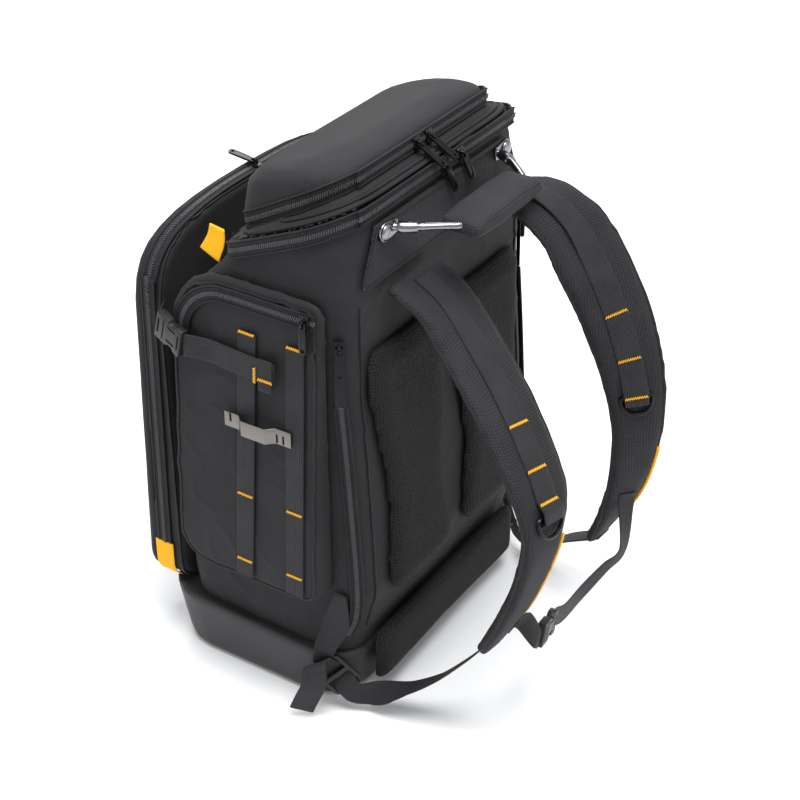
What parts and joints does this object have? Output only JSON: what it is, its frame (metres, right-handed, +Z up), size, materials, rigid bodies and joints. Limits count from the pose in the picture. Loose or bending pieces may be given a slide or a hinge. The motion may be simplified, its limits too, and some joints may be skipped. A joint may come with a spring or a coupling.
{
  "type": "tool backpack",
  "caption": "Rigid-bottomed tool backpack with a moulded lid and front shell, zipped side pockets, padded back and shoulder straps, and a cable carry handle.",
  "frame": {"origin": "middle of the base tray's underside, on the ground", "axes": "+Z up, -Y the moulded front, +Y the padded back with the straps, +X the wearer's right side"},
  "size_m": [0.4032, 0.4378, 0.5633],
  "materials": {
    "nylon": "heavy woven nylon, matt",
    "webbing": "ribbed woven webbing",
    "spacer_mesh": "open spacer mesh over foam",
    "moulded": "moulded foam shell with a fine matt grain",
    "yellow_cloth": "plain woven cloth",
    "plastic": "injection moulded, satin",
    "zip_tape": "coil zip on woven tape",
    "polished_steel": "bright polished",
    "stamped_steel": "bent sheet, dull",
    "dark_metal": "black plated, worn sheen"
  },
  "bodies": {
    "bag": {"base_tray": "moulded", "main_body": "nylon", "main_lid": "nylon", "lid_dome": "moulded", "lid_zip": "zip_tape", "dome_zip": "zip_tape", "front_gusset": "nylon", "front_shell": "moulded", "front_zip": "zip_tape", "side_pocket_right": "nylon", "pocket_zip_right": "zip_tape", "side_pocket_left": "nylon", "pocket_zip_left": "zip_tape", "gusset_zip_right": "zip_tape", "gusset_zip_left": "zip_tape", "molle_front_right": "webbing", "molle_rear_right": "webbing", "molle_front_left": "webbing", "molle_rear_left": "webbing", "tape_clip": "stamped_steel", "side_buckle": "plastic", "compression_strap_front": "webbing", "compression_strap_rear": "webbing", "tape_loop": "webbing", "shoulder_strap_right": "nylon", "strap_webbing_right": "webbing", "shoulder_strap_left": "nylon", "strap_webbing_left": "webbing", "ladder_lock_right": "plastic", "wing_right": "nylon", "adjuster_webbing_right": "webbing", "ladder_lock_left": "plastic", "wing_left": "nylon", "adjuster_webbing_left": "webbing", "back_pad_right": "spacer_mesh", "back_pad_left": "spacer_mesh", "lumbar_pad": "spacer_mesh", "yoke_panel": "nylon", "handle_cable": "polished_steel", "handle_rivet_right": "polished_steel", "handle_rivet_left": "polished_steel", "handle_grip": "nylon", "sternum_buckle": "plastic", "sternum_webbing_right": "webbing", "sternum_webbing_left": "webbing", "lid_tag_right": "yellow_cloth", "corner_patch_right": "yellow_cloth", "lid_tag_left": "yellow_cloth", "corner_patch_left": "yellow_cloth"},
    "lid_pull_right": {"lid_pull_right": "dark_metal"},
    "lid_pull_left": {"lid_pull_left": "dark_metal"},
    "dome_pull_right": {"dome_pull_right": "dark_metal"},
    "dome_pull_left": {"dome_pull_left": "dark_metal"},
    "front_pull": {"front_pull": "dark_metal"},
    "pocket_pull_right": {"pocket_pull_right": "dark_metal"},
    "pocket_pull_left": {"pocket_pull_left": "dark_metal"},
    "gusset_pull_right": {"gusset_pull_right": "dark_metal"},
    "gusset_pull_left": {"gusset_pull_left": "dark_metal"},
    "d_ring_right": {"d_ring_right": "dark_metal"},
    "d_ring_left": {"d_ring_left": "dark_metal"}
  },
  "joints": [
    {"name": "lid_pull_right_hinge", "type": "hinge", "parent": "bag", "child": "lid_pull_right", "pos_m": [0.001, 0.1074, 0.527], "axis": [0.9211, 0.0543, -0.3856], "range_deg": [0, 110]},
    {"name": "lid_pull_left_hinge", "type": "hinge", "parent": "bag", "child": "lid_pull_left", "pos_m": [-0.029, 0.1074, 0.527], "axis": [0.9211, 0.0543, -0.3856], "range_deg": [0, 110]},
    {"name": "dome_pull_right_hinge", "type": "hinge", "parent": "bag", "child": "dome_pull_right", "pos_m": [0.019, 0.0904, 0.5506], "axis": [0.9888, 0.1207, -0.0881], "range_deg": [0, 110]},
    {"name": "dome_pull_left_hinge", "type": "hinge", "parent": "bag", "child": "dome_pull_left", "pos_m": [-0.001, 0.0904, 0.5506], "axis": [0.9888, 0.1207, -0.0881], "range_deg": [0, 110]},
    {"name": "front_pull_hinge", "type": "hinge", "parent": "bag", "child": "front_pull", "pos_m": [0, -0.10808, 0.478], "axis": [-1, 0, 0], "range_deg": [0, 150]},
    {"name": "pocket_pull_right_hinge", "type": "hinge", "parent": "bag", "child": "pocket_pull_right", "pos_m": [0.17931, 0.073, 0.44], "axis": [0, -1, 0], "range_deg": [0, 150]},
    {"name": "pocket_pull_left_hinge", "type": "hinge", "parent": "bag", "child": "pocket_pull_left", "pos_m": [-0.17931, 0.073, 0.44], "axis": [0, 1, 0], "range_deg": [0, 150]},
    {"name": "gusset_pull_right_hinge", "type": "hinge", "parent": "bag", "child": "gusset_pull_right", "pos_m": [0.16293, 0.09934, 0.41436], "axis": [0.6157, -0.788, 0], "range_deg": [0, 150]},
    {"name": "gusset_pull_left_hinge", "type": "hinge", "parent": "bag", "child": "gusset_pull_left", "pos_m": [-0.16293, 0.09934, 0.41436], "axis": [0.6157, 0.788, 0], "range_deg": [0, 150]},
    {"name": "d_ring_right_hinge", "type": "hinge", "parent": "bag", "child": "d_ring_right", "pos_m": [0.10908, 0.28307, 0.27873], "axis": [0.9724, -0.2232, 0.0674], "range_deg": [0, 140]},
    {"name": "d_ring_left_hinge", "type": "hinge", "parent": "bag", "child": "d_ring_left", "pos_m": [-0.10243, 0.2634, 0.28288], "axis": [0.5364, -0.8252, -0.1772], "range_deg": [0, 140]}
  ]
}
